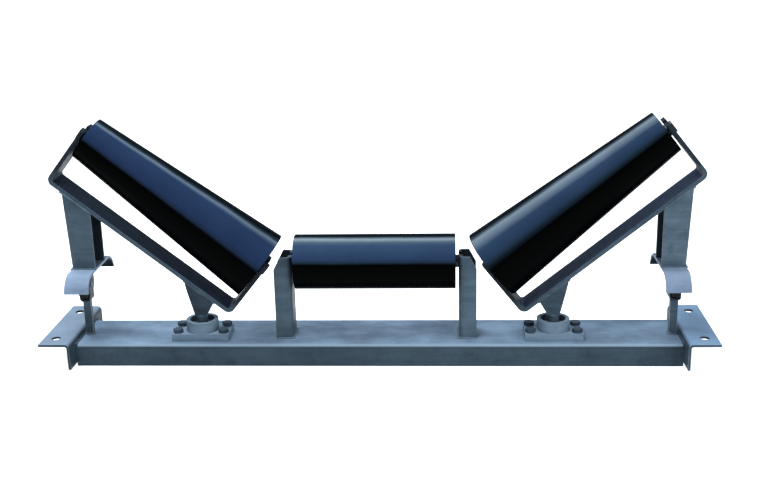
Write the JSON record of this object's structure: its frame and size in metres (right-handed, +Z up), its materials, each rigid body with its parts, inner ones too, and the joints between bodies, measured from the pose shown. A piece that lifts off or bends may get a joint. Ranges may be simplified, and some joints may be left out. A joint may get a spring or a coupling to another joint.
{
  "type": "troughing idler set",
  "caption": "Self-aligning trough idler: level middle roller and tapered wing rollers in brackets that swing on pivots over a channel beam.",
  "frame": {"origin": "under the middle of the beam, on the plane of its lower edges, midway between the four foot holes", "axes": "+X across the belt, +Y along the belt towards the back, +Z up"},
  "size_m": [1.312, 0.22, 0.4847],
  "materials": {
    "blue_paint": "satin",
    "roller_black": "gloss",
    "bright_steel": "satin",
    "zinc": "satin",
    "rubber": "matte",
    "nylon": "matte"
  },
  "bodies": {
    "root": {"base_channel": "blue_paint", "foot_left": "blue_paint", "foot_right": "blue_paint", "center_post_left": "blue_paint", "center_post_right": "blue_paint", "pivot_housing_left": "blue_paint", "pivot_housing_right": "blue_paint", "housing_bolts": "zinc", "housing_nuts": "zinc", "pivot_outer_rings": "bright_steel", "wheel_post_left": "blue_paint", "wheel_post_right": "blue_paint", "wheel_fork_left": "blue_paint", "wheel_fork_right": "blue_paint", "wheel_pins": "blue_paint", "wheel_pin_clips": "blue_paint", "center_shaft": "bright_steel", "center_inner_rings": "bright_steel", "center_retaining_rings": "zinc", "center_seal_rings": "nylon"},
    "center_roller": {"center_shell": "roller_black", "center_end_cups": "roller_black", "center_outer_rings": "bright_steel", "center_ball_sets": "bright_steel", "center_end_covers": "roller_black"},
    "swing_left": {"left_bracket": "blue_paint", "left_leg": "blue_paint", "left_saddle": "blue_paint", "left_gusset": "blue_paint", "left_stem": "blue_paint", "left_shaft": "bright_steel", "left_inner_rings": "bright_steel", "left_retaining_rings": "zinc", "left_seal_rings": "nylon", "left_pivot_bearing": "bright_steel"},
    "wing_roller_left": {"left_shell": "roller_black", "left_end_cups": "roller_black", "left_outer_rings": "bright_steel", "left_ball_sets": "bright_steel", "left_end_covers": "roller_black"},
    "wheel_left": {"left_wheel_tyre": "rubber", "left_wheel_hub": "bright_steel"},
    "swing_right": {"right_bracket": "blue_paint", "right_leg": "blue_paint", "right_saddle": "blue_paint", "right_gusset": "blue_paint", "right_stem": "blue_paint", "right_shaft": "bright_steel", "right_inner_rings": "bright_steel", "right_retaining_rings": "zinc", "right_seal_rings": "nylon", "right_pivot_bearing": "bright_steel"},
    "wing_roller_right": {"right_shell": "roller_black", "right_end_cups": "roller_black", "right_outer_rings": "bright_steel", "right_ball_sets": "bright_steel", "right_end_covers": "roller_black"},
    "wheel_right": {"right_wheel_tyre": "rubber", "right_wheel_hub": "bright_steel"}
  },
  "joints": [
    {"name": "center_spin", "type": "hinge", "parent": "root", "child": "center_roller", "pos_m": [0, -0.01, 0.197], "axis": [1, 0, 0], "continuous": true},
    {"name": "swing_left", "type": "hinge", "parent": "root", "child": "swing_left", "pos_m": [-0.348, -0.023, 0.1], "axis": [0, 0, 1], "range_deg": [-10, 10]},
    {"name": "wing_spin_left", "type": "hinge", "parent": "swing_left", "child": "wing_roller_left", "pos_m": [-0.2285, -0.01, 0.19], "axis": [-0.7794, 0, 0.6265], "continuous": true},
    {"name": "wheel_spin_left", "type": "hinge", "parent": "root", "child": "wheel_left", "pos_m": [-0.5825, -0.01, 0.155], "axis": [1, 0, 0], "range_deg": [-74, 74]},
    {"name": "swing_right", "type": "hinge", "parent": "root", "child": "swing_right", "pos_m": [0.348, -0.023, 0.1], "axis": [0, 0, 1], "range_deg": [-10, 10]},
    {"name": "wing_spin_right", "type": "hinge", "parent": "swing_right", "child": "wing_roller_right", "pos_m": [0.2285, -0.01, 0.19], "axis": [0.7794, 0, 0.6265], "continuous": true},
    {"name": "wheel_spin_right", "type": "hinge", "parent": "root", "child": "wheel_right", "pos_m": [0.5825, -0.01, 0.155], "axis": [1, 0, 0], "range_deg": [-74, 74]}
  ],
  "couplings": [
    {"joint": "wheel_spin_left", "follows": "swing_left", "ratio": 7.2154},
    {"joint": "wheel_spin_right", "follows": "swing_right", "ratio": -7.2154}
  ]
}
